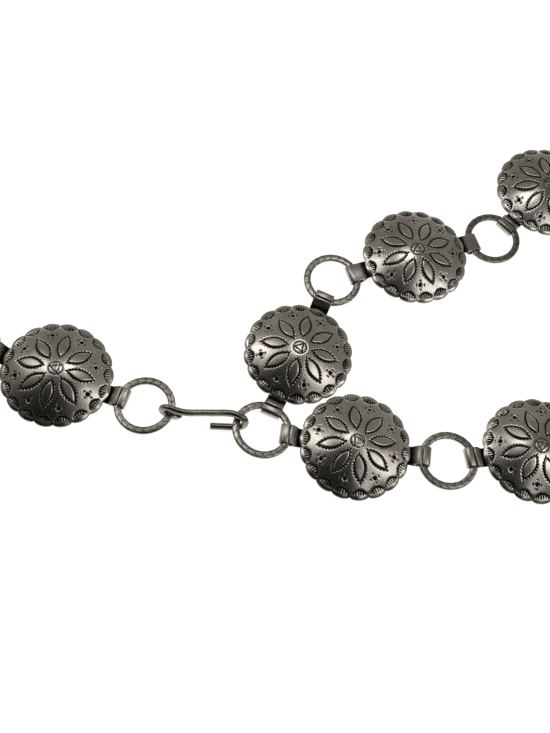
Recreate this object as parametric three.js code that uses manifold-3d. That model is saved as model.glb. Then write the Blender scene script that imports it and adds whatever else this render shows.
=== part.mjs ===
// Concho belt in nickel silver, lying flat and fastened: thirteen conchos, thirteen joining
// rings and a wire hook close the waist loop, and two more conchos hang on as its free end.
// Units are millimetres, +Z is up and the belt rests on z = 0.

import * as THREE from 'three';
import { mergeVertices } from 'three/addons/utils/BufferGeometryUtils.js';
import Module from 'manifold-3d';

const wasm = await Module();
wasm.setup();

// Concho: a domed disc of sheet metal with a scalloped edge
const conchoDiameter = 38;      // through the middle of the scallops
const scallopCount = 18;
const scallopDepth = 0.95;      // crest to notch
const scallopMiddle = 0.6;      // share of that depth where the diameter is measured
const scallopFullness = 0.6;    // below 1 the scallops are rounder than a sine wave
const scallopSteps = 3;
const domeRise = 5.5;           // apex above the rim
const domePower = 1.7;          // 1 is a cone, 2 is a bowl
const domeSheet = 0.9;
const domeBreaks = [0, 0.4, 0.72];   // where the dome's facets meet, from the middle to the edge

// Strap: one strip soldered across the back, each end rolled round a ring
const strapWidth = 6.6;
const strapSheet = 0.6;
const solderDepth = 0.3;        // how far the rim is bedded in the strap
const rollReach = 4.1;          // free length inside a roll
const rollCorner = 0.7;         // outer corners of a roll
const seamWidth = 0.4;          // open seam on the crown of a roll
const crownRun = 0.7;           // flat of the crown on the disc's side of the seam
const rampRun = 2.6;            // slope from the crown down to the strap
const rampKnee = [0.35, 0.21];  // where it steepens: share of its run, share of its fall

// Ring: flat oval wire
const ringDiameter = 20.75;     // outside
const ringFace = 2.5;           // width of the wire
const ringFlat = 1.7;           // level part of that width
const ringThickness = 1.24;
const ringSides = 16;
const rimToRing = 12.6;         // edge of a disc to the middle of the next ring

// Hook: one round wire with an eye, a shank and a bend
const hookWire = 2.4;
const eyeRoom = 0.45;           // round the ring's wire inside the eye
const eyeArm = 4.2;             // from the eye to the kink in the shank
const shankLength = 19.3;       // from the kink to the ring's wire
const returnLength = 9.4;
const returnTurn = 4.5;         // degrees by which the return leans back to the shank
const floorGap = 0.05;          // under the return
const hookSides = 8;
const hookSteps = 48;
const eyeTurn = -270;           // degrees, from the ring's side under the wire and back up
const eyeSteps = 12;

// The bend, from over the ring's wire to under it. Along the shank and to its side the unit
// is the room that the ring's wire takes inside the bend; level 1 is the shank's, 0 the return's.
const bend = [
  { along: -1.8, side: 0, level: 1 },
  { along: -0.98, side: 0.11, level: 1 },
  { along: -0.2, side: 0.45, level: 1 },
  { along: 0.42, side: 0.77, level: 0.85 },
  { along: 0.61, side: 1.04, level: 0.48 },
  { along: 0.36, side: 1.22, level: 0.14 },
  { along: -0.25, side: 1.32, level: 0.02 },
];

// Clearances
const wireGap = 0.42;           // ring to roll, above and below
const caughtDrop = 0.07;        // the ring on the hook leans, so it lies this much lower in its rolls
const endGap = 0.3;             // ring to the disc's side of a roll, and wire to wire

// Route on the table. Each heading is the way a strap points, in degrees from +X;
// a free strap is turned a little so that the loop closes.
const loopRoute = [
  { heading: 79.5 },
  { heading: 31.5, strapOnTop: true },
  { heading: 57 },
  { heading: 85, free: true },
  { heading: 131, free: true },
  { heading: 180, free: true },
  { heading: 194, free: true },
  { heading: 204, free: true },
  { heading: 227, free: true },
  { heading: 269, free: true },
  { heading: 292, free: true },
  { heading: 312, free: true },
  { heading: 353 },
];
const closingRounds = 30;
const tailRoute = [
  { heading: 5 },
  { heading: 21.5 },
];
const eyeHeading = -4;          // from the last ring's middle to the hook's eye
const hookHeading = 161;        // from the first ring's middle to the shank above it
const restHeading = 183;        // from the first ring's middle to the hook's return under it
const shankHeading = 16.6;      // the way the shank points after its kink

// Sizes that follow from those
const rad = THREE.MathUtils.degToRad;
const notchRadius = conchoDiameter / 2 - scallopDepth * scallopMiddle;
const crestRadius = notchRadius + scallopDepth;
const halfPitch = crestRadius + rimToRing;
const ringOuter = ringDiameter / 2;
const wireRadius = ringOuter - ringFace / 2;
const rollRoom = ringThickness + 2 * wireGap;
const wireLevel = strapSheet + rollRoom / 2;
const rollHeight = rollRoom + 2 * strapSheet;
const hookRadius = hookWire / 2;
const eyeHole = Math.hypot(ringFace, ringThickness) / 2 + eyeRoom;
const eyeRadius = eyeHole + hookRadius;
const eyeLevel = hookRadius + eyeRadius;
const eyeWireLevel = eyeLevel - Math.sqrt(eyeHole ** 2 - (ringFlat / 2) ** 2) + endGap + ringThickness / 2;
const bendRoom = ringFace / 2 + endGap + hookRadius;
const returnLevel = hookRadius + floorGap;
const hookWireLevel = returnLevel + hookRadius + endGap + ringThickness / 2;
const shankLevel = hookWireLevel + ringThickness / 2 + endGap + hookRadius;

const metal = { color: '#b5b1a8', metalness: 1 };
const conchoMetal = new THREE.MeshStandardMaterial({ ...metal, roughness: 0.3 });
const ringMetal = new THREE.MeshStandardMaterial({ ...metal, roughness: 0.28 });
const hookMetal = new THREE.MeshStandardMaterial({ ...metal, roughness: 0.35 });

// A step of the given length over the table
function step(heading, length = 1) {
  return new THREE.Vector3(length * Math.cos(rad(heading)), length * Math.sin(rad(heading)), 0);
}

// A closed geometry as a solid that can be joined or cut
function toSolid(geometry) {
  const bare = geometry.clone();
  bare.deleteAttribute('normal');
  bare.deleteAttribute('uv');
  const merged = mergeVertices(bare, 1e-4);
  const corners = merged.index.array;
  const faces = [];
  for (let i = 0; i < corners.length; i += 3) {
    const [a, b, c] = corners.slice(i, i + 3);
    if (a !== b && b !== c && c !== a) faces.push(a, b, c);
  }
  return new wasm.Manifold(new wasm.Mesh({
    numProp: 3,
    vertProperties: merged.attributes.position.array,
    triVerts: new Uint32Array(faces),
  }));
}

function toGeometry(solid) {
  const mesh = solid.getMesh();
  const geometry = new THREE.BufferGeometry();
  geometry.setAttribute('position', new THREE.BufferAttribute(mesh.vertProperties, 3));
  geometry.setIndex(new THREE.BufferAttribute(mesh.triVerts, 1));
  geometry.computeVertexNormals();
  return geometry;
}

// Height of the dome's top face over its rim, at a distance from the middle
function domeHeight(radius) {
  return domeRise * (1 - (radius / (conchoDiameter / 2)) ** domePower);
}

// The dome as a turned shell, a little wider than the disc, with the rim's underside at z = 0
function domeShell() {
  const radii = domeBreaks.map((share) => share * conchoDiameter / 2);
  radii.push(crestRadius + domeSheet);
  const under = radii.map((r) => new THREE.Vector2(r, domeHeight(r)));
  const top = radii.toReversed().map((r) => new THREE.Vector2(r, domeHeight(r) + domeSheet));
  const shell = new THREE.LatheGeometry([...under, ...top], scallopCount);
  shell.rotateX(Math.PI / 2);
  return toSolid(shell);
}

// The scalloped outline as a prism; a crest lies on each end of the strap
function scallopPrism() {
  const outline = new THREE.Shape();
  for (let i = 0; i < scallopCount * scallopSteps; i++) {
    const share = (i % scallopSteps) / scallopSteps;
    const radius = notchRadius + scallopDepth * Math.sin(Math.PI * share) ** scallopFullness;
    const angle = (i / scallopSteps + 0.5) * 2 * Math.PI / scallopCount;
    const corner = [radius * Math.cos(angle), radius * Math.sin(angle)];
    if (i === 0) outline.moveTo(...corner);
    else outline.lineTo(...corner);
  }
  const depth = 2 * (domeRise + domeSheet);
  const prism = new THREE.ExtrudeGeometry(outline, { depth, bevelEnabled: false });
  prism.translate(0, 0, -depth / 2);
  return toSolid(prism);
}

// Half of the strap's section: from the middle of its underside, round the roll, to the
// middle of its top. Lengths run out from the middle of the disc.
function rollSection() {
  const discSide = halfPitch - ringOuter - endGap;
  const farSide = discSide + rollReach;
  const end = farSide + strapSheet;
  const ceiling = rollHeight - strapSheet;
  const seam = halfPitch - wireRadius + seamWidth / 2;
  const crown = seam - seamWidth - crownRun;
  const [kneeRun, kneeFall] = rampKnee;
  return [
    [0, 0],
    [end - rollCorner, 0],
    [end, rollCorner],
    [end, rollHeight - rollCorner],
    [end - rollCorner, rollHeight],
    [seam, rollHeight],
    [seam, ceiling],
    [farSide, ceiling],
    [farSide, strapSheet],
    [discSide, strapSheet],
    [discSide, ceiling],
    [seam - seamWidth, ceiling],
    [seam - seamWidth, rollHeight],
    [crown, rollHeight],
    [crown - rampRun * kneeRun, rollHeight - (rollHeight - strapSheet) * kneeFall],
    [crown - rampRun, strapSheet],
  ];
}

// The strap with both rolls, along X, its underside on z = 0
function strap() {
  const right = rollSection();
  const left = right.slice(1).toReversed().map(([x, z]) => [-x, z]);
  const outline = new THREE.Shape([...right, ...left].map(([x, z]) => new THREE.Vector2(x, z)));
  const strip = new THREE.ExtrudeGeometry(outline, { depth: strapWidth, bevelEnabled: false });
  strip.rotateX(Math.PI / 2);
  strip.translate(0, strapWidth / 2, 0);
  return strip;
}

// Dome and strap soldered into one piece. Turned over, the strap has its rolls underneath.
function conchoGeometry(strapOnTop) {
  const strip = strap();
  let seat = strapSheet;
  if (strapOnTop) {
    strip.rotateX(Math.PI);
    strip.translate(0, 0, rollHeight);
    seat = rollHeight;
  }
  const crestDrop = -domeHeight(crestRadius);
  const dome = domeShell().intersect(scallopPrism()).translate([0, 0, seat - solderDepth + crestDrop]);
  return toGeometry(dome.add(toSolid(strip)));
}

function ringGeometry() {
  const face = ringFace / 2;
  const flat = ringFlat / 2;
  const half = ringThickness / 2;
  const section = [
    [-face, 0],
    [-flat, -half],
    [flat, -half],
    [face, 0],
    [flat, half],
    [-flat, half],
    [-face, 0],
  ];
  const profile = section.map(([across, up]) => new THREE.Vector2(wireRadius + across, up));
  const ring = new THREE.LatheGeometry(profile, ringSides);
  ring.rotateX(Math.PI / 2);
  return toGeometry(toSolid(ring));
}

// From the last ring's middle to the first ring's middle, over the hook
function hookSpan() {
  return step(eyeHeading, wireRadius + eyeArm)
    .add(step(shankHeading, shankLength))
    .sub(step(hookHeading, wireRadius));
}

// Headings that close the loop, the free straps turned as little as will do
function closedHeadings() {
  const headings = loopRoute.map((link) => link.heading);
  const free = loopRoute.flatMap((link, i) => (link.free ? [i] : []));
  for (let round = 0; round < closingRounds; round++) {
    const gap = hookSpan();
    for (const heading of headings) gap.add(step(heading, 2 * halfPitch));
    const pulls = free.map((i) => step(headings[i] + 90, 2 * halfPitch));
    const xx = pulls.reduce((sum, pull) => sum + pull.x * pull.x, 0);
    const xy = pulls.reduce((sum, pull) => sum + pull.x * pull.y, 0);
    const yy = pulls.reduce((sum, pull) => sum + pull.y * pull.y, 0);
    const scale = xx * yy - xy * xy;
    const weight = new THREE.Vector3(xy * gap.y - yy * gap.x, xy * gap.x - xx * gap.y, 0);
    weight.divideScalar(scale);
    free.forEach((i, k) => {
      headings[i] += THREE.MathUtils.radToDeg(pulls[k].dot(weight));
    });
  }
  return headings;
}

// The middle of a ring's wire where something holds it
function hold(middle, heading, level) {
  return middle.clone().add(step(heading, wireRadius)).setZ(level);
}

// A ring lies in the plane of its holds; with two holds it is level across them
function placeRing(name, middle, holds) {
  const [first, second] = holds;
  const across = new THREE.Vector3(first.y - second.y, second.x - first.x, 0).add(first);
  const plane = new THREE.Plane().setFromCoplanarPoints(first, second, holds[2] ?? across);
  if (plane.normal.z < 0) plane.negate();
  const level = -(plane.normal.x * middle.x + plane.normal.y * middle.y + plane.constant) / plane.normal.z;
  const ring = new THREE.Mesh(shapes.ring, ringMetal);
  ring.name = name;
  ring.position.set(middle.x, middle.y, level);
  ring.quaternion.setFromUnitVectors(new THREE.Vector3(0, 0, 1), plane.normal);
  return ring;
}

function placeConcho(name, ringMiddle, heading, strapOnTop) {
  const concho = new THREE.Mesh(strapOnTop ? shapes.strapOnTop : shapes.concho, conchoMetal);
  concho.name = name;
  concho.position.copy(ringMiddle).add(step(heading, halfPitch));
  concho.rotation.z = rad(heading);
  return concho;
}

// The hook's centre line: round the eye, along the shank, down through the first ring and back
function hookLine(lastRing, firstRing) {
  const up = new THREE.Vector3(0, 0, 1);
  const along = step(eyeHeading);
  const eye = lastRing.clone().add(step(eyeHeading, wireRadius));
  const points = [];
  for (let i = 0; i <= eyeSteps; i++) {
    const turn = rad(eyeTurn) * i / eyeSteps;
    points.push(eye.clone().setZ(eyeLevel)
      .addScaledVector(along, eyeRadius * Math.cos(turn))
      .addScaledVector(up, eyeRadius * Math.sin(turn)));
  }
  const eyeTop = eyeLevel + eyeRadius;
  const straight = shankLength + bend[0].along * bendRoom;
  const run = eyeArm + straight;
  const levelAt = (length) => eyeTop + (shankLevel - eyeTop) * length / run;
  const kink = eye.clone().addScaledVector(along, eyeArm);
  const beforeKink = eyeArm * 0.6;
  points.push(eye.clone().addScaledVector(along, beforeKink).setZ(levelAt(beforeKink)));
  const afterKink = [0.1, 0.4, 0.75];
  for (const share of afterKink) {
    const length = share * straight;
    points.push(kink.clone().add(step(shankHeading, length)).setZ(levelAt(eyeArm + length)));
  }
  const caught = firstRing.clone().add(step(hookHeading, wireRadius));
  for (const place of bend) {
    points.push(caught.clone()
      .add(step(shankHeading, place.along * bendRoom))
      .add(step(shankHeading - 90, place.side * bendRoom))
      .setZ(returnLevel + place.level * (shankLevel - returnLevel)));
  }
  const returnStart = points.at(-1);
  const alongReturn = [0.3, 0.65, 1];
  for (const share of alongReturn) {
    const back = step(shankHeading + 180 - returnTurn, returnLength * share);
    points.push(returnStart.clone().add(back).setZ(returnLevel));
  }
  return new THREE.CatmullRomCurve3(points);
}

function hookGeometry(lastRing, firstRing) {
  const section = new THREE.Shape();
  for (let i = 0; i < hookSides; i++) {
    const angle = (i + 0.5) * 2 * Math.PI / hookSides;
    const corner = [hookRadius * Math.cos(angle), hookRadius * Math.sin(angle)];
    if (i === 0) section.moveTo(...corner);
    else section.lineTo(...corner);
  }
  const extrudePath = hookLine(lastRing, firstRing);
  const wire = new THREE.ExtrudeGeometry(section, { steps: hookSteps, bevelEnabled: false, extrudePath });
  return toGeometry(toSolid(wire));
}

const shapes = {
  concho: conchoGeometry(false),
  strapOnTop: conchoGeometry(true),
  ring: ringGeometry(),
};

const belt = new THREE.Group();
const headings = closedHeadings();
const number = (i) => String(i).padStart(2, '0');

// The loop: a concho, then the ring at its far end, all the way round
let middle = new THREE.Vector3();
const firstRing = middle;
loopRoute.forEach((link, i) => {
  belt.add(placeConcho(`concho_${number(i + 1)}`, middle, headings[i], link.strapOnTop));
  middle = middle.clone().add(step(headings[i], 2 * halfPitch));
  const holds = [hold(middle, headings[i] + 180, wireLevel)];
  if (i + 1 < headings.length) holds.push(hold(middle, headings[i + 1], wireLevel));
  else holds.push(hold(middle, eyeHeading, eyeWireLevel));
  belt.add(placeRing(`ring_${number(i + 1)}`, middle, holds));
});
const lastRing = middle;

// The hook, and the ring that it catches together with the belt's free end
const hook = new THREE.Mesh(hookGeometry(lastRing, firstRing), hookMetal);
hook.name = 'hook';
belt.add(hook);
belt.add(placeRing('hook_ring', firstRing, [
  hold(firstRing, headings[0], wireLevel - caughtDrop),
  hold(firstRing, tailRoute[0].heading, wireLevel - caughtDrop),
  hold(firstRing, restHeading, hookWireLevel),
]));

// The free end: concho, ring, concho
const [inner, outer] = tailRoute;
const tailRing = firstRing.clone().add(step(inner.heading, 2 * halfPitch));
belt.add(placeConcho('tail_concho_1', firstRing, inner.heading, false));
belt.add(placeRing('tail_ring', tailRing, [
  hold(tailRing, inner.heading + 180, wireLevel),
  hold(tailRing, outer.heading, wireLevel),
]));
belt.add(placeConcho('tail_concho_2', tailRing, outer.heading, false));

// The origin is on the table, under the middle of the belt
const group = new THREE.Group();
group.add(belt);
const extent = new THREE.Box3().setFromObject(belt, true);
const centre = extent.getCenter(new THREE.Vector3());
belt.position.set(-centre.x, -centre.y, -extent.min.z);
group.updateMatrixWorld(true);

export default group;
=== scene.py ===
"""Looks for a concho belt that lies fastened on a pale table: stamped and domed discs on
rolled straps, flat rings with chevron stamps, and a hook of round wire, in nickel silver."""

import math

import bmesh
import bpy
import numpy as np
from mathutils import Matrix, Vector


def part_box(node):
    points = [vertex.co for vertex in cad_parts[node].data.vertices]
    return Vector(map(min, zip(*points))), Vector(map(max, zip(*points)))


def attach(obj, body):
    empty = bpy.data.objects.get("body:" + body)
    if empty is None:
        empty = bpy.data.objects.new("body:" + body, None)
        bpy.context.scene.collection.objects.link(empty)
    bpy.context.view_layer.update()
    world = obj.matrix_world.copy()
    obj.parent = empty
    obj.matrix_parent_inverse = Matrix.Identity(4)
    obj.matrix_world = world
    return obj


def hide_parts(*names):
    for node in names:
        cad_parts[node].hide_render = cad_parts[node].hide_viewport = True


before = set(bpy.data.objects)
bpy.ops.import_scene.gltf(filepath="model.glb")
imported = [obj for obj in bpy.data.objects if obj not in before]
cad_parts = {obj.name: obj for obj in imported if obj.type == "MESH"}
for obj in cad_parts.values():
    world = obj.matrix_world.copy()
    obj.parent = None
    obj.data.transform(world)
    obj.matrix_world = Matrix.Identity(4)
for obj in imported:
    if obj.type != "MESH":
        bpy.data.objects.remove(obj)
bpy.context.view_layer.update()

MM = 0.001
WELD = 1e-4                     # millimetres; vertices closer than this become one
HOOK_WELD = 1e-6                # the same in metres, for the hook

# Which ring a concho's strap starts from; the strap points from it to the concho
LOOP = [f"{i:02d}" for i in range(1, 14)]
STARTS_AT = {f"concho_{n}": f"ring_{int(n) - 1:02d}" for n in LOOP}
STARTS_AT["concho_01"] = "hook_ring"
STARTS_AT["tail_concho_1"] = "hook_ring"
STARTS_AT["tail_concho_2"] = "tail_ring"
RINGS = [f"ring_{n}" for n in LOOP] + ["hook_ring", "tail_ring"]
TURNED_STRAPS = ["concho_02"]

# Disc, in millimetres: a domed sheet with a scalloped edge
DISC_RADIUS = 19.0
DOME_RISE = 5.5
DOME_POWER = 1.7                # 1 is a cone, 2 is a bowl
SHEET = 0.9
SCALLOPS = 18
NOTCH_RADIUS = 18.31
CREST_RADIUS = 19.15
SCALLOP_FULLNESS = 0.6          # below 1 the scallops are rounder than a sine wave
SQUEEZE_FROM = 14.5             # from here out the faces follow the scallops
EDGE_ROUNDING = 0.12            # the middle of the edge stands out by this
DENT_DEPTH = 0.035              # of the hand-worked sheet's unevenness
DENT_WAVES = (0.5, 0.45)        # radians per mm, along the strap and across it
DENT_SHIFT = 12                 # the most by which they are shifted on a disc
TURN_STEPS = 360
TOP_CUTS = 60
UNDER_CUTS = 6
CROWDING = (0.35, 3.0)          # how much narrower the faces are at the middle, and how far out

# Stamps on the disc, in millimetres from its middle. Their edges are soft, so that the faces
# can carry them: the first two numbers given to smooth() are where an edge starts and ends.
GROOVE_RADIUS = 2.3
GROOVE_WIDTH = 0.2
GROOVE_DEPTH = 0.16
TRIANGLE_REACH = 1.95
TRIANGLE_WIDTH = 0.17
TRIANGLE_DEPTH = 0.12
PETALS = 8
PETAL_LEAN = 5.0                # degrees from the strap to the first petal, on most discs
PETAL_LEANS = {"concho_01": 9.1, "tail_concho_1": 10.5, "concho_13": 5.4}
PETAL_SPREAD = (0.9, 0.12)      # how far the stamps stray: degrees round the disc, mm outwards
PETAL_MIDDLE = 8.85
PETAL_HALF = (4.25, 1.68)       # half the length and half the width of the smooth leaf
PETAL_RISE = 0.14               # how far the leaf is puffed
PETAL_MARGIN = 1.5              # the teeth stay within this of the leaf
TOOTH_REACH = (1.05, 0.95)      # how far the toothed border stands out, along and across
TOOTH_PITCH = 0.98
TOOTH_ROOT = 0.32               # share of the border that is cut between two teeth
TOOTH_POINT = (0.68, 1.3)       # share that a tooth adds, and how pointed it is
TOOTH_DEPTH = 0.2
PIT_SPREAD = (0.8, 0.15)        # as for the petals
PIT_PLACE = 13.5
PIT_SIZE = 0.78                 # from its middle to a corner
PIT_DEPTH = 0.4
PIT_RING = 1.5                  # radius of the broken ring
PIT_RING_WIDTH = 0.22
PIT_RING_DEPTH = 0.14
LENS_SPREAD = 0.5               # degrees round the disc
LENS_INNER = 15.75              # its inner side, where it is widest
LENS_OUTER = 18.35
LENS_HALF = 2.5                 # half its length
LENS_BOW = (1.35, 0.75)         # how far its inner and its outer side curve
LENS_DEPTH = 0.42
LENS_NARROWEST = 0.15           # its tips count as no narrower than this
LENS_WALL = (0.22, 0.26)        # place and width of the dark line inside its inner side
RIB_PITCH = 0.86
RIB_DEPTH = 0.16
LOBES = (16.4, 18.6)            # where the puffed lobes of the rim start, and where they are full
LOBE_RISE = 0.3                 # from the dip between two lobes to a lobe's middle
LOBE_FALL = 0.22                # depth of that dip
LOBES_BELOW = (17.4, 18.4)      # as LOBES, for the underside

# Ring, in millimetres: flat wire with chevrons stamped on its upper face
RING_RADIUS = 10.375            # outside
WIRE_HALF = (1.25, 0.62)        # half the wire's width and half its thickness
WIRE_MIDDLE = RING_RADIUS - WIRE_HALF[0]
FACE_HALF = 0.98                # half the width of its upper face
FACE_FALL = 0.08                # how far that face falls towards its sides
FACE_CUTS = 6
SIDE_ROUNDING = (0.8, 0.62)     # where a rounded side passes: shares of its width and its height
RING_STEPS = 352
CHEVRONS = 22
CHEVRON_SLANT = 0.42            # how far a chevron's arms run back, in shares of the spacing per mm
CHEVRON_WIDTH = 0.06            # in shares of the spacing
CHEVRON_DEPTH = 0.035

# Clearances, in millimetres
WIRE_GAP = 0.42                 # ring to roll, above and below
END_GAP = 0.3                   # ring to the disc's side of a roll, and wire to wire
FLOOR_GAP = 0.05                # under the hook's return

# Strap, in millimetres: a strip with both ends rolled, lengths out from the disc's middle
HALF_PITCH = 31.98              # to the middle of a ring
STRAP_WIDTH = 6.6
STRIP = 0.6                     # thickness
STRIP_BEVEL = 0.08
SOLDER = 0.3                    # how far the disc's rim is bedded in the strip
ROLL_REACH = 4.1                # free length inside a roll
ROLL_INSIDE = HALF_PITCH - RING_RADIUS - END_GAP
ROLL_OUTSIDE = ROLL_INSIDE + ROLL_REACH
ROLL_HEIGHT = 2 * (WIRE_HALF[1] + WIRE_GAP + STRIP)
ROLL_CORNER = 1.5               # radius of a roll's outer corners
CORNER_STEPS = 6
SEAM_WIDTH = 0.4                # open seam on the crown of a roll, over the ring's wire
SEAM_MIDDLE = HALF_PITCH - WIRE_MIDDLE
SEAM = (SEAM_MIDDLE - SEAM_WIDTH / 2, SEAM_MIDDLE + SEAM_WIDTH / 2)
LIP = 0.1                       # how far the edges of the seam are turned down
LIP_RUN = (0.3, 0.4)            # over what length, on the disc's side and on the far side
CROWN_RUN = 0.7                 # from the seam to the top of the slope
CROWN_END = SEAM[0] - CROWN_RUN
RAMP_KNEE = (0.91, 0.56)        # how far in and down from there the slope steepens
RAMP_RUN = 2.6                  # how far in the slope ends
RAMP = [
    (CROWN_END, ROLL_HEIGHT),
    (CROWN_END - RAMP_KNEE[0], ROLL_HEIGHT - RAMP_KNEE[1]),
    (CROWN_END - RAMP_RUN, STRIP),
]
PAINTED_SHADE_START = 0.2                # the slope is clean this far from its top; below that a painted shade darkens it towards the disc
PAINTED_SHADE_HEIGHT = 2.2               # how far up from the underside the sides carry a painted shade
SEAM_MARGIN = 0.1               # painted shade blackens the seam and this far to each side of it

# Hook, in millimetres: eye round the last ring, shank, bend through the first ring, return
HOOK_RADIUS = 1.2
EYE_RADIUS = 3.045
EYE_TURN = -270                 # degrees, from the ring's side under the wire and back up
EYE_STEPS = 12
EYE_HEADING = -4                # from the last ring's middle to the eye
EYE_ARM = 4.2                   # from the eye to the kink in the shank
EYE_ARM_POINT = 0.6             # share of the arm where the wire's line has a point
SHANK_HEADING = 16.6
SHANK_LENGTH = 19.3             # from the kink to the ring's wire
SHANK_POINTS = (0.1, 0.4, 0.75)     # the same for the shank's straight part
HOOK_HEADING = 161              # from the first ring's middle to the shank above it
RETURN_LEVEL = HOOK_RADIUS + FLOOR_GAP
SHANK_LEVEL = RETURN_LEVEL + 2 * (HOOK_RADIUS + END_GAP + WIRE_HALF[1])
RETURN_LENGTH = 9.4
RETURN_TURN = 4.5               # degrees by which the return leans back to the shank
RETURN_POINTS = (0.3, 0.65, 1)      # and for the return
HOOK_SMOOTHNESS = 6             # Blender's steps round the wire and from point to point

# The bend, from over the ring's wire to under it: along, side and level. The unit of the first
# two is the room that the wire takes inside the bend; level 1 is the shank's, 0 the return's.
BEND_ROOM = WIRE_HALF[0] + END_GAP + HOOK_RADIUS
BEND = [
    (-1.8, 0, 1),
    (-0.98, 0.11, 1),
    (-0.2, 0.45, 1),
    (0.42, 0.77, 0.85),
    (0.61, 1.04, 0.48),
    (0.36, 1.22, 0.14),
    (-0.25, 1.32, 0.02),
]

# How black each place is painted, from 0 to 1: oxide in the disc's stamps and the chevrons, painted shade
# beside the disc, low on the straps, in the seams and on the wire's sides
BLACK = {"pit_ring": 0.85, "lens_wall": 0.95, "rib": 0.9, "groove": 0.9, "triangle": 0.95,
         "beside_disc": 0.7, "low_on_strap": 0.35, "seam": 1.0, "chevron": 0.9, "wire_side": 0.3}

# Metal
# The black of the oxide, also used for the painted shade on the straps and the wire's sides
OXIDE_AND_SHADE_COLOUR = "#1c1814"
OXIDE_AND_SHADE_ROUGHNESS = 0.6
OXIDE_AND_SHADE_EDGE = (0.68, 1.0)        # blackness plus grain where the oxide and the painted shade start and where they cover all
BLOTCHES = 120.0                # noise per metre, for blotches of 8 mm
BLOTCH_EDGE = (0.35, 0.65)      # the noise where the metal is clean, and where it is dull
BLOTCH_ROUGHNESS = 0.1          # the most that a blotch adds to the roughness
GRAIN = 2800.0                  # noise per metre, for a grain of 0.35 mm
GRAIN_HEIGHT = 0.00004          # metres

# Table and room. The room's colour goes by the way from the belt, a vector of length 1.
TABLE_HALF = 3                  # metres
TABLE_COLOUR = "#f0f0ee"
TABLE_GLOW = 0.85
DIM_WALLS = "#353331"
LIGHT_WALLS = "#8e8b86"
BLACK_SCREEN = "#0b0a0a"
REAR = (-0.3, 0.2)              # Y from the dim front to the lighter rear
LOW = (0.95, 0.6)               # Z from the dim ceiling to the lighter walls
SCREEN_WAY = (-0.16, -0.42, 0.89)
SCREEN_EDGE = (0.84, 0.93)      # cosine of the angle from its middle, outside and inside the soft edge

# Lamps: name, place from the ring on the hook and size in metres, power in watts
LAMPS = [
    ("left_strip", (-0.27, 0.14, 0.34), (0.12, 0.2), 0.2),
    ("right_strip", (0.27, 0.03, 0.36), (0.12, 0.3), 0.28),
    ("front_right", (0.2, -0.14, 0.36), (0.08, 0.08), 0.03),
    ("top_box", (-0.02, 0.19, 0.40), (0.12, 0.10), 0.18),
]

# Camera: degrees, and millimetres from the ring on the hook
VIEW_RISE = 65.5
VIEW_ROLL = 13.8
VIEW_DISTANCE = 398
VIEW_SHIFT = (-1.0, 25.0, 0)
LENS = 56.2
SENSOR = 36


def linear(code):
    """An sRGB hex colour as linear red, green, blue and alpha."""
    parts = [int(code[i:i + 2], 16) / 255 for i in (1, 3, 5)]
    return [p / 12.92 if p <= 0.04045 else ((p + 0.055) / 1.055) ** 2.4 for p in parts] + [1.0]


def add(tree, kind, inputs=None, **settings):
    """A node with its settings, its values and its links."""
    node = tree.nodes.new(kind)
    for name, value in settings.items():
        setattr(node, name, value)
    for socket, value in (inputs or {}).items():
        if isinstance(value, bpy.types.NodeSocket):
            tree.links.new(value, node.inputs[socket])
        else:
            node.inputs[socket].default_value = value
    return node


def smooth(low, high, value):
    """0 below low, 1 above high, and an even rise between."""
    share = np.clip((value - low) / (high - low), 0, 1)
    return share * share * (3 - 2 * share)


def ridge(distance, width):
    """1 on a line and 0 away from it."""
    return np.exp(-(distance / width) ** 2)


def middle(node):
    """The middle of a CAD node's box, in metres."""
    low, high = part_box(node)
    return (low + high) / 2


def spun(bm, steps):
    """Spins a section round Z into a closed mesh with its normals out."""
    bmesh.ops.spin(bm, geom=bm.verts[:] + bm.edges[:], cent=(0, 0, 0), axis=(0, 0, 1),
                   angle=2 * math.pi, steps=steps, use_merge=True)
    bmesh.ops.remove_doubles(bm, verts=bm.verts, dist=WELD)
    bmesh.ops.recalc_face_normals(bm, faces=bm.faces)
    return bm


# Disc


def dome(radius):
    """Height of the dome's upper face over its rim."""
    return DOME_RISE * (1 - (radius / DISC_RADIUS) ** DOME_POWER)


def turned_disc():
    """A flat two-faced disc with an edge, spun from half a section; 1 mm thick in the spin."""
    bm = bmesh.new()
    section = ((0, 1), (CREST_RADIUS, 1), (CREST_RADIUS, 0), (0, 0))
    corners = [bm.verts.new((x, 0, z)) for x, z in section]
    top, edge, under = [bm.edges.new(pair) for pair in zip(corners, corners[1:])]
    for line, cuts in ((top, TOP_CUTS), (edge, 1), (under, UNDER_CUTS)):
        bmesh.ops.subdivide_edges(bm, edges=[line], cuts=cuts)
    return spun(bm, TURN_STEPS)


def outline(angle):
    """Radius of the scalloped edge; a crest lies on each end of the strap."""
    share = (angle * SCALLOPS / (2 * math.pi) + 0.5) % 1
    return NOTCH_RADIUS + (CREST_RADIUS - NOTCH_RADIUS) * np.sin(math.pi * share) ** SCALLOP_FULLNESS


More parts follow.
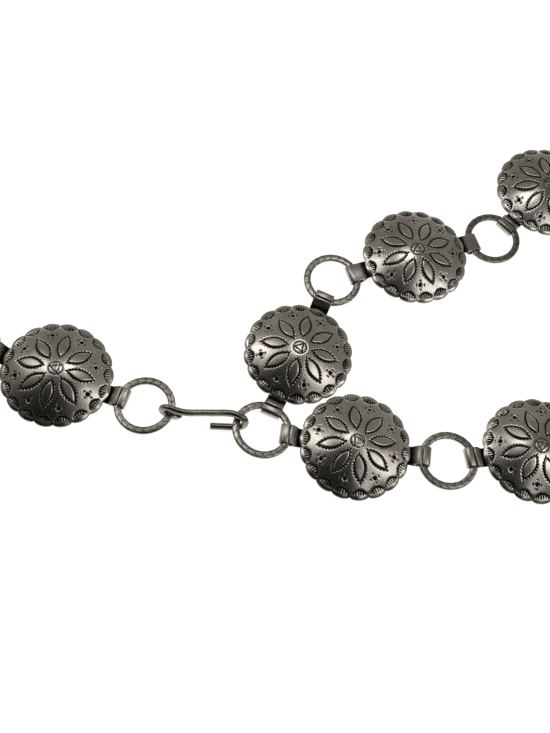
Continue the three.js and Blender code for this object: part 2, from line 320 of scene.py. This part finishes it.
def petal_stamps(radius, angle, wander, lean):
    """Smooth leaves inside a toothed border. Returns height in mm and darkness from 0 to 1."""
    height, dark = np.zeros_like(radius), np.zeros_like(radius)
    long, wide = PETAL_HALF
    border_long, border_wide = long + TOOTH_REACH[0], wide + TOOTH_REACH[1]
    for i in range(PETALS):
        turn = math.radians(lean + i * 360 / PETALS + wander.normal(0, PETAL_SPREAD[0]))
        shift = wander.normal(0, PETAL_SPREAD[1])
        along = radius * np.cos(angle - turn) - PETAL_MIDDLE - shift
        across = np.abs(radius * np.sin(angle - turn))
        near = (np.abs(along) < long + PETAL_MARGIN) & (across < wide + PETAL_MARGIN)
        leaf = wide * (1 - (along / long) ** 2) - across
        border = border_wide * (1 - (along / border_long) ** 2) - across
        # From 0 on the leaf's outline to 1 on the border's
        out = np.clip(-leaf / np.maximum(border - leaf, 1e-6), -1, 2)
        tooth = np.abs((along / TOOTH_PITCH) % 1 - 0.5) * 2
        reach = TOOTH_ROOT + TOOTH_POINT[0] * tooth ** TOOTH_POINT[1]
        cut = smooth(-0.16, 0.06, out) * (1 - smooth(reach - 0.1, reach + 0.12, out)) * near
        inside = smooth(-0.05, 0.5, leaf) * near
        height += PETAL_RISE * inside - TOOTH_DEPTH * cut
        dark = np.maximum(dark, cut)
    return height, dark


def pit_stamps(radius, angle, wander, lean):
    """A diamond pit in a broken ring, between each two petals."""
    height, dark = np.zeros_like(radius), np.zeros_like(radius)
    for i in range(PETALS):
        turn = math.radians(lean + (i + 0.5) * 360 / PETALS + wander.normal(0, PIT_SPREAD[0]))
        place = PIT_PLACE + wander.normal(0, PIT_SPREAD[1])
        along = radius * np.cos(angle - turn) - place
        across = radius * np.sin(angle - turn)
        distance = np.hypot(along, across)
        diamond = 1 - smooth(PIT_SIZE - 0.12, PIT_SIZE + 0.14, np.abs(along) + np.abs(across))
        quarters = smooth(0.1, 0.6, np.cos(4 * np.arctan2(across, along)))
        arcs = ridge(distance - PIT_RING, PIT_RING_WIDTH) * quarters
        height -= PIT_DEPTH * diamond + PIT_RING_DEPTH * arcs
        dark = np.maximum(dark, np.maximum(diamond, BLACK["pit_ring"] * arcs))
    return height, dark


def rim_stamps(radius, angle, wander):
    """Lens-shaped recesses with ribs, one behind each scallop, and the puffed lobes outside."""
    share = angle * SCALLOPS / (2 * math.pi)
    number = np.round(share).astype(int) % SCALLOPS
    lean = np.radians(wander.normal(0, LENS_SPREAD, SCALLOPS))[number]
    turn = (share - np.round(share)) * 2 * math.pi / SCALLOPS - lean
    across, along = radius * np.sin(turn), radius * np.cos(turn)
    bow = (across / LENS_HALF) ** 2
    inner, outer = LENS_INNER + LENS_BOW[0] * bow, LENS_OUTER - LENS_BOW[1] * bow
    depth = (along - inner) / np.maximum(outer - inner, LENS_NARROWEST)
    inside = smooth(0, 0.14, along - inner) * (1 - smooth(0.85, 1.1, depth)) * (bow < 1)
    ribs = 0.5 - 0.5 * np.cos(2 * math.pi * (across / RIB_PITCH + 0.5))
    ribs = (1 - smooth(0.25, 0.6, ribs)) * (1 - smooth(0.6, 1.0, depth)) * inside
    wall = ridge(along - inner - LENS_WALL[0], LENS_WALL[1]) * (1 - smooth(0.8, 1.05, bow))
    falling = np.clip(1 - depth, 0, 1) ** 1.2
    lobe = smooth(*LOBES, radius) * (LOBE_RISE * np.cos(turn * SCALLOPS / 2) ** 2 - LOBE_FALL)
    height = lobe - LENS_DEPTH * inside * falling - RIB_DEPTH * ribs
    return height, np.maximum(BLACK["lens_wall"] * wall, BLACK["rib"] * ribs)


def middle_stamp(radius, angle, wander):
    """A triangle in a round groove."""
    turn = wander.uniform(0, 2 * math.pi)
    groove = ridge(radius - GROOVE_RADIUS, GROOVE_WIDTH)
    sides = [radius * np.cos(angle - turn - k * 2 * math.pi / 3) for k in range(3)]
    line = ridge(np.max(sides, axis=0) - TRIANGLE_REACH / 2, TRIANGLE_WIDTH)
    height = -GROOVE_DEPTH * groove - TRIANGLE_DEPTH * line
    return height, np.maximum(BLACK["groove"] * groove, BLACK["triangle"] * line)


def shaped_disc(flat, wander, lean):
    """Places of the disc's vertices in mm, rim's underside at 0, and how dark each one is."""
    radius, angle = np.hypot(flat[:, 0], flat[:, 1]), np.arctan2(flat[:, 1], flat[:, 0])
    radius = radius * (1 - CROWDING[0] * np.exp(-(radius / CROWDING[1]) ** 2))
    squeeze = outline(angle) / CREST_RADIUS
    radius = radius * (1 - (1 - squeeze) * smooth(SQUEEZE_FROM, CREST_RADIUS, radius))
    upper = smooth(0, 1, flat[:, 2])
    height, dark = np.zeros_like(radius), np.zeros_like(radius)
    stamps = [
        petal_stamps(radius, angle, wander, lean),
        pit_stamps(radius, angle, wander, lean),
        rim_stamps(radius, angle, wander),
        middle_stamp(radius, angle, wander),
    ]
    for relief, darkening in stamps:
        height += relief
        dark = np.maximum(dark, darkening)
    along = flat[:, 0] + wander.uniform(0, DENT_SHIFT)
    across = flat[:, 1] + wander.uniform(0, DENT_SHIFT)
    dents = DENT_DEPTH * np.sin(DENT_WAVES[0] * along) * np.sin(DENT_WAVES[1] * across)
    lobes = rim_stamps(radius, angle, np.random.default_rng(0))[0] * smooth(*LOBES_BELOW, radius)
    level = dome(radius) - dome(CREST_RADIUS) + flat[:, 2] * SHEET
    level += upper * (height + dents) + (1 - upper) * np.maximum(lobes, 0)
    edge_middle = np.abs(flat[:, 2] - 0.5) < 0.1
    radius = radius + np.where(edge_middle, EDGE_ROUNDING, 0)
    shaped = np.column_stack([radius * np.cos(angle), radius * np.sin(angle), level])
    return shaped, dark * upper


# Strap


def strap_section():
    """Half of the strip's section, from the middle of its underside round the roll to its top."""
    arc_middle = ROLL_OUTSIDE + STRIP - ROLL_CORNER
    ceiling = ROLL_HEIGHT - STRIP

    def corner(level, first):
        turns = [math.radians(first + 90 * i / CORNER_STEPS) for i in range(CORNER_STEPS + 1)]
        return [(arc_middle + ROLL_CORNER * math.cos(t), level + ROLL_CORNER * math.sin(t)) for t in turns]

    return [
        (RAMP[2][0], 0),
        (RAMP[0][0], 0),
        *corner(ROLL_CORNER, -90),
        *corner(ROLL_HEIGHT - ROLL_CORNER, 0),
        (SEAM[1] + LIP_RUN[1], ROLL_HEIGHT),
        (SEAM[1], ROLL_HEIGHT - LIP),
        (SEAM[1], ceiling),
        (ROLL_OUTSIDE, ceiling),
        (ROLL_OUTSIDE, STRIP),
        (ROLL_INSIDE, STRIP),
        (ROLL_INSIDE, ceiling),
        (SEAM[0], ceiling),
        (SEAM[0], ROLL_HEIGHT - LIP),
        (SEAM[0] - LIP_RUN[0], ROLL_HEIGHT),
        *RAMP,
    ]


def rolled_strap():
    """The strip with both rolls, along X, its long edges softened."""
    bm = bmesh.new()
    right = strap_section()
    points = right + [(-x, z) for x, z in reversed(right)]
    face = bm.faces.new([bm.verts.new((x, -STRAP_WIDTH / 2, z)) for x, z in points])
    grown = bmesh.ops.extrude_face_region(bm, geom=[face])["geom"]
    moved = [v for v in grown if isinstance(v, bmesh.types.BMVert)]
    bmesh.ops.translate(bm, verts=moved, vec=(0, STRAP_WIDTH, 0))
    bmesh.ops.recalc_face_normals(bm, faces=bm.faces)
    bmesh.ops.bevel(bm, geom=bm.edges[:], offset=STRIP_BEVEL, affect="EDGES", segments=2, profile=0.5,
                    material=-1, clamp_overlap=True)
    bmesh.ops.triangulate(bm, faces=[f for f in bm.faces if len(f.verts) > 4])
    return bm


def strap_darkness(places, over):
    """Painted shade beside the disc, low on the sides and in the seams; the crowns are clean. Over is
    whether the strip will be turned over."""
    out, up = np.abs(places[:, 0]), places[:, 2]
    # Painted shade: the slope grows darker towards the disc
    beside = BLACK["beside_disc"] * smooth(CROWN_END - PAINTED_SHADE_START, RAMP[2][0], out)
    # Painted shade low on the strap's sides, where they come near the table
    low = BLACK["low_on_strap"] * smooth(PAINTED_SHADE_HEIGHT, 0, ROLL_HEIGHT - up if over else up)
    # Painted shade: the open seams are painted black
    in_seam = (out > SEAM[0] - SEAM_MARGIN) & (out < SEAM[1] + SEAM_MARGIN) & (up < ROLL_HEIGHT - 2 * LIP)
    return np.maximum(np.maximum(beside, low), np.where(in_seam, BLACK["seam"], 0.0))


# Ring


def flat_ring():
    """Flat wire spun into a ring; the section is a box with well-rounded sides."""
    bm = bmesh.new()
    wide, thick = WIRE_HALF
    upper_half = [(-wide, 0), (-FACE_HALF, thick), (FACE_HALF, thick)]
    corners = upper_half + [(-x, -z) for x, z in upper_half]
    verts = [bm.verts.new((WIRE_MIDDLE + x, 0, z)) for x, z in corners]
    lines = [bm.edges.new(pair) for pair in zip(verts, verts[1:] + verts[:1])]
    bmesh.ops.subdivide_edges(bm, edges=[lines[1]], cuts=FACE_CUTS)
    for line in (lines[0], lines[2], lines[3], lines[5]):
        bmesh.ops.subdivide_edges(bm, edges=[line], cuts=1)
    return spun(bm, RING_STEPS)


def shaped_ring(plain, wander):
    """Rounds the wire's sides and stamps its upper face with chevrons."""
    reach, angle = np.hypot(plain[:, 0], plain[:, 1]), np.arctan2(plain[:, 1], plain[:, 0])
    across, level = reach - WIRE_MIDDLE, plain[:, 2].copy()
    side = (np.abs(across) > FACE_HALF + 0.01) & (np.abs(level) > 0.01)
    rounded = FACE_HALF + (WIRE_HALF[0] - FACE_HALF) * SIDE_ROUNDING[0]
    across = np.where(side, np.sign(across) * rounded, across)
    level = np.where(side, np.sign(level) * WIRE_HALF[1] * SIDE_ROUNDING[1], level)
    upper = smooth(0.5, 0.61, level)
    start, way = wander.uniform(0, 6.28), wander.choice([-1, 1])
    phase = way * (angle + start) * CHEVRONS / (2 * math.pi) - np.abs(across) * CHEVRON_SLANT
    line = ridge((phase % 1) - 0.5, CHEVRON_WIDTH)
    level = level - upper * (CHEVRON_DEPTH * line + FACE_FALL * (across / FACE_HALF) ** 2)
    reach = WIRE_MIDDLE + across
    shaped = np.column_stack([reach * np.cos(angle), reach * np.sin(angle), level])
    # The chevrons are black with oxide; the wire's sides and underside carry a painted shade
    return shaped, BLACK["chevron"] * upper * line + BLACK["wire_side"] * (1 - upper)


# Hook


def step(heading, length):
    """A step over the table, in millimetres."""
    return Vector((math.cos(math.radians(heading)), math.sin(math.radians(heading)), 0)) * length


def hook_line():
    """The middle of the hook's wire, in millimetres, from the end of its eye to its tip."""
    eye = middle("ring_13") / MM + step(EYE_HEADING, WIRE_MIDDLE)
    eye.z = HOOK_RADIUS + EYE_RADIUS
    caught = middle("hook_ring") / MM + step(HOOK_HEADING, WIRE_MIDDLE)
    points = []
    for i in range(EYE_STEPS + 1):
        turn = math.radians(EYE_TURN * i / EYE_STEPS)
        rise = Vector((0, 0, EYE_RADIUS * math.sin(turn)))
        points.append(eye + step(EYE_HEADING, EYE_RADIUS * math.cos(turn)) + rise)
    eye_top = eye.z + EYE_RADIUS
    straight = SHANK_LENGTH + BEND[0][0] * BEND_ROOM
    run = EYE_ARM + straight
    kink = eye + step(EYE_HEADING, EYE_ARM)

    def on_shank(place, length):
        return Vector((place.x, place.y, eye_top + (SHANK_LEVEL - eye_top) * length / run))

    arm_length = EYE_ARM_POINT * EYE_ARM
    points.append(on_shank(eye + step(EYE_HEADING, arm_length), arm_length))
    for share in SHANK_POINTS:
        length = share * straight
        points.append(on_shank(kink + step(SHANK_HEADING, length), EYE_ARM + length))
    for along, side, level in BEND:
        place = caught + step(SHANK_HEADING, along * BEND_ROOM) + step(SHANK_HEADING - 90, side * BEND_ROOM)
        place.z = RETURN_LEVEL + level * (SHANK_LEVEL - RETURN_LEVEL)
        points.append(place)
    back = points[-1].copy()
    back.z = RETURN_LEVEL
    for share in RETURN_POINTS:
        points.append(back + step(SHANK_HEADING + 180 - RETURN_TURN, RETURN_LENGTH * share))
    return points


def hook_mesh():
    """Round wire along the hook's line, with closed ends."""
    curve = bpy.data.curves.new("hook_wire", "CURVE")
    curve.dimensions = "3D"
    curve.bevel_depth = HOOK_RADIUS * MM
    curve.bevel_resolution = HOOK_SMOOTHNESS
    curve.resolution_u = HOOK_SMOOTHNESS
    curve.use_fill_caps = True
    points = hook_line()
    spline = curve.splines.new("BEZIER")
    spline.bezier_points.add(len(points) - 1)
    for point, place in zip(spline.bezier_points, points):
        point.co = place * MM
        point.handle_left_type = point.handle_right_type = "AUTO"
    carrier = bpy.data.objects.new("hook_wire", curve)
    bpy.context.scene.collection.objects.link(carrier)
    bpy.context.view_layer.update()
    mesh = bpy.data.meshes.new_from_object(carrier.evaluated_get(bpy.context.evaluated_depsgraph_get()))
    bpy.data.objects.remove(carrier)
    bm = bmesh.new()
    bm.from_mesh(mesh)
    bmesh.ops.remove_doubles(bm, verts=bm.verts, dist=HOOK_WELD)
    bmesh.ops.recalc_face_normals(bm, faces=bm.faces)
    bm.to_mesh(mesh)
    bm.free()
    return mesh


# Materials


def nickel_silver(name, clean, dull, roughness, grain_strength):
    """A white copper alloy with black oxide and painted shade where the mesh's own darkness says so. The
    grain is
    0.35 mm across and the blotches 8 mm."""
    material = bpy.data.materials.new(name)
    material.use_nodes = True
    tree = material.node_tree
    shader = tree.nodes["Principled BSDF"]
    shader.inputs["Metallic"].default_value = 1.0
    place = add(tree, "ShaderNodeTexCoord").outputs["Object"]
    # The mesh's darkness: oxide in the stamps, painted shade on the straps and the wire's sides
    oxide_and_painted_shade = add(tree, "ShaderNodeAttribute", attribute_name="oxide_and_painted_shade").outputs["Fac"]
    blotch = add(tree, "ShaderNodeTexNoise", {"Vector": place, "Scale": BLOTCHES, "Detail": 4.0,
                                              "Roughness": 0.6})
    grain = add(tree, "ShaderNodeTexNoise", {"Vector": place, "Scale": GRAIN, "Detail": 2.0,
                                             "Roughness": 0.6})
    soft = add(tree, "ShaderNodeMapRange", {"Value": blotch.outputs["Fac"], "From Min": BLOTCH_EDGE[0],
                                            "From Max": BLOTCH_EDGE[1]})
    polish = add(tree, "ShaderNodeMix", {"Factor": soft.outputs["Result"], "A": linear(clean),
                                         "B": linear(dull)}, data_type="RGBA")
    edge = add(tree, "ShaderNodeMath", {0: oxide_and_painted_shade, 1: grain.outputs["Fac"]}, operation="ADD")
    darkening = add(tree, "ShaderNodeMapRange", {"Value": edge.outputs["Value"], "From Min": OXIDE_AND_SHADE_EDGE[0],
                                             "From Max": OXIDE_AND_SHADE_EDGE[1]})
    colour = add(tree, "ShaderNodeMix", {"Factor": darkening.outputs["Result"], "A": polish.outputs["Result"],
                                         "B": linear(OXIDE_AND_SHADE_COLOUR)}, data_type="RGBA")
    rough = add(tree, "ShaderNodeMapRange", {"Value": darkening.outputs["Result"], "To Min": roughness,
                                             "To Max": OXIDE_AND_SHADE_ROUGHNESS})
    uneven = add(tree, "ShaderNodeMath", {0: blotch.outputs["Fac"], 1: BLOTCH_ROUGHNESS,
                                          2: rough.outputs["Result"]}, operation="MULTIPLY_ADD")
    bump = add(tree, "ShaderNodeBump", {"Height": grain.outputs["Fac"], "Strength": grain_strength,
                                        "Distance": GRAIN_HEIGHT})
    tree.links.new(colour.outputs["Result"], shader.inputs["Base Color"])
    tree.links.new(uneven.outputs["Value"], shader.inputs["Roughness"])
    tree.links.new(bump.outputs["Normal"], shader.inputs["Normal"])
    return material


def stamped_sheet():
    """Stamped, blackened and buffed sheet: the high parts have a soft polish with a fine grain,
    and the oxide stays black in the stamps and a little grey round them."""
    return nickel_silver("stamped_nickel_silver_sheet", clean="#d3cec4", dull="#aaa59a",
                         roughness=0.22, grain_strength=0.45)


def strap_strip():
    """Soldered strip, never buffed: a duller grey than the discs, with a painted shade beside the solder.
    """
    return nickel_silver("soldered_nickel_silver_strip", clean="#b9b4aa", dull="#98938a",
                         roughness=0.27, grain_strength=0.12)


def ring_wire():
    """Flat wire worn to a satin by its neighbours, with dark oxide in the chevrons and a painted shade on
    its sides.
    """
    return nickel_silver("worn_flat_nickel_silver_wire", clean="#b4afa5", dull="#8e897f",
                         roughness=0.24, grain_strength=0.2)


def hook_wire():
    """Round wire, the least polished piece: grey with a soft sheen along its length."""
    return nickel_silver("dull_round_nickel_silver_wire", clean="#a39e95", dull="#7d7970",
                         roughness=0.24, grain_strength=0.25)


def light_table():
    """A matt white sheet lit from below, so bright that the belt's shadows nearly vanish."""
    material = bpy.data.materials.new("white_light_table")
    material.use_nodes = True
    shader = material.node_tree.nodes["Principled BSDF"]
    shader.inputs["Base Color"].default_value = linear(TABLE_COLOUR)
    shader.inputs["Roughness"].default_value = 0.9
    shader.inputs["Emission Color"].default_value = linear("#ffffff")
    shader.inputs["Emission Strength"].default_value = TABLE_GLOW
    return material


# Putting the pieces in place


def vertex_places(mesh):
    """The places of a mesh's vertices, one row each."""
    places = np.zeros(len(mesh.vertices) * 3)
    mesh.vertices.foreach_get("co", places)
    return places.reshape(-1, 3)


def as_mesh(bm, name):
    """The bmesh as a mesh, and its vertices' places."""
    mesh = bpy.data.meshes.new(name)
    bm.to_mesh(mesh)
    bm.free()
    return mesh, vertex_places(mesh)


def stand_for(name, mesh, node):
    """Puts a mesh into the scene as the piece that stands for a CAD node."""
    piece = bpy.data.objects.new(name, mesh)
    bpy.context.scene.collection.objects.link(piece)
    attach(piece, "root")
    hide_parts(node)


def dress(node, parts):
    """Joins shaped parts, given in mm, into one piece that stands for a CAD node. A part is
    its mesh, its vertices' places, their darkness, its matrix and its material."""
    bm = bmesh.new()
    # Each vertex's darkness: oxide in the stamps and painted shade on the straps and the wire's sides
    layer = bm.verts.layers.float.new("oxide_and_painted_shade")
    materials = [part[-1] for part in parts]
    for index, (mesh, places, dark, matrix, _) in enumerate(parts):
        first_vertex, first_face = len(bm.verts), len(bm.faces)
        bm.from_mesh(mesh)
        bm.verts.ensure_lookup_table()
        bm.faces.ensure_lookup_table()
        turned = places @ np.array(matrix.to_3x3()).T * MM + np.array(matrix.translation)
        for vertex, place, darkening in zip(bm.verts[first_vertex:], turned.tolist(), dark.tolist()):
            vertex.co = place
            vertex[layer] = darkening
        for face in bm.faces[first_face:]:
            face.material_index = index
            face.smooth = True
    result = bpy.data.meshes.new(node + "_look")
    bm.to_mesh(result)
    bm.free()
    for material in materials:
        result.materials.append(material)
    stand_for(node + "_look", result, node)


def set_conchos():
    """A disc and its strap for each concho; every disc's stamps stray in their own way."""
    sheet, strip = stamped_sheet(), strap_strip()
    disc, flat = as_mesh(turned_disc(), "disc")
    strap, plain = as_mesh(rolled_strap(), "strap")
    for number, (node, start) in enumerate(STARTS_AT.items()):
        centre = middle(node)
        centre.z = 0
        way = centre - middle(start)
        turn = Matrix.Rotation(math.atan2(way.y, way.x), 4, "Z")
        over = node in TURNED_STRAPS
        seat = (ROLL_HEIGHT if over else STRIP) - SOLDER
        wander = np.random.default_rng(number + 1)
        shaped, dark = shaped_disc(flat, wander, PETAL_LEANS.get(node, PETAL_LEAN))
        disc_place = Matrix.Translation(centre + Vector((0, 0, seat * MM))) @ turn
        strap_place = Matrix.Translation(centre) @ turn
        if over:
            lift = Matrix.Translation(Vector((0, 0, ROLL_HEIGHT * MM)))
            strap_place = lift @ strap_place @ Matrix.Rotation(math.pi, 4, "X")
        # Painted shade on the strap: beside the disc, low on the sides and in the seams
        painted_strap_shade = strap_darkness(plain, over)
        parts = [(disc, shaped, dark, disc_place, sheet), (strap, plain, painted_strap_shade, strap_place, strip)]
        dress(node, parts)


def ring_plane(node):
    """The way a ring's upper face points, from its CAD solid."""
    places = vertex_places(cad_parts[node].data)
    normal = np.linalg.svd(places - places.mean(0), full_matrices=False)[2][2]
    return Vector(normal * np.sign(normal[2]))


def set_rings():
    """Every ring leans as its CAD solid does and has chevrons of its own."""
    metal = ring_wire()
    ring, plain = as_mesh(flat_ring(), "ring")
    for number, node in enumerate(RINGS):
        shaped, dark = shaped_ring(plain, np.random.default_rng(number + 50))
        lean = Vector((0, 0, 1)).rotation_difference(ring_plane(node)).to_matrix().to_4x4()
        place = Matrix.Translation(middle(node)) @ lean
        dress(node, [(ring, shaped, dark, place, metal)])


def set_hook():
    """The hook rides as one piece of plain wire."""
    mesh = hook_mesh()
    mesh.materials.append(hook_wire())
    mesh.shade_smooth()
    stand_for("hook_look", mesh, "hook")


# Table, light and camera


def set_table():
    """A flat white table that reaches far past the belt."""
    bm = bmesh.new()
    bmesh.ops.create_grid(bm, x_segments=1, y_segments=1, size=TABLE_HALF)
    mesh = bpy.data.meshes.new("table")
    bm.to_mesh(mesh)
    bm.free()
    mesh.materials.append(light_table())
    table = bpy.data.objects.new("table", mesh)
    bpy.context.scene.collection.objects.link(table)


def set_lamps():
    """Soft boxes that face the ring on the hook."""
    target = middle("hook_ring")
    for name, offset, size, power in LAMPS:
        lamp = bpy.data.lights.new(name, "AREA")
        lamp.shape = "RECTANGLE"
        lamp.size, lamp.size_y = size
        lamp.energy = power
        holder = bpy.data.objects.new(name, lamp)
        holder.location = target + Vector(offset)
        holder.rotation_euler = (target - holder.location).to_track_quat("-Z", "Y").to_euler()
        bpy.context.scene.collection.objects.link(holder)
        holder.visible_camera = False


def set_room():
    """A grey room, lighter at the back, with a dim ceiling and a black screen over the front."""
    world = bpy.data.worlds.new("grey_room")
    bpy.context.scene.world = world
    world.use_nodes = True
    tree = world.node_tree
    way = add(tree, "ShaderNodeTexCoord").outputs["Generated"]
    parts = add(tree, "ShaderNodeSeparateXYZ", {"Vector": way})
    rear = add(tree, "ShaderNodeMapRange", {"Value": parts.outputs["Y"], "From Min": REAR[0],
                                            "From Max": REAR[1]})
    low = add(tree, "ShaderNodeMapRange", {"Value": parts.outputs["Z"], "From Min": LOW[0],
                                           "From Max": LOW[1]})
    share = add(tree, "ShaderNodeMath", {0: rear.outputs["Result"], 1: low.outputs["Result"]},
                operation="MULTIPLY")
    walls = add(tree, "ShaderNodeMix", {"Factor": share.outputs["Value"], "A": linear(DIM_WALLS),
                                        "B": linear(LIGHT_WALLS)}, data_type="RGBA")
    near = add(tree, "ShaderNodeVectorMath", {0: way, 1: SCREEN_WAY}, operation="DOT_PRODUCT")
    screen = add(tree, "ShaderNodeMapRange", {"Value": near.outputs["Value"], "From Min": SCREEN_EDGE[0],
                                              "From Max": SCREEN_EDGE[1]})
    colour = add(tree, "ShaderNodeMix", {"Factor": screen.outputs["Result"], "A": walls.outputs["Result"],
                                         "B": linear(BLACK_SCREEN)}, data_type="RGBA")
    tree.links.new(colour.outputs["Result"], tree.nodes["Background"].inputs["Color"])
    tree.nodes["Background"].inputs["Strength"].default_value = 1.0


def set_camera():
    """The photograph's view: from above and in front, turned a little."""
    look_at = middle("hook_ring") + Vector(VIEW_SHIFT) * MM
    look_at.z = 0
    rise, roll = math.radians(VIEW_RISE), math.radians(VIEW_ROLL)
    back = Vector((0, -math.cos(rise), math.sin(rise)))
    right, up = Vector((1, 0, 0)), Vector((0, math.sin(rise), math.cos(rise)))
    x_axis = right * math.cos(roll) + up * math.sin(roll)
    y_axis = up * math.cos(roll) - right * math.sin(roll)
    camera = bpy.data.objects.new("camera", bpy.data.cameras.new("camera"))
    camera.data.lens = LENS
    camera.data.sensor_width = SENSOR
    turned = Matrix((x_axis, y_axis, back)).transposed().to_4x4()
    camera.matrix_world = Matrix.Translation(look_at + back * (VIEW_DISTANCE * MM)) @ turned
    bpy.context.scene.collection.objects.link(camera)
    bpy.context.scene.camera = camera


set_camera()
set_room()
set_table()
set_lamps()
set_conchos()
set_rings()
set_hook()
bpy.context.scene.view_settings.view_transform = "Standard"
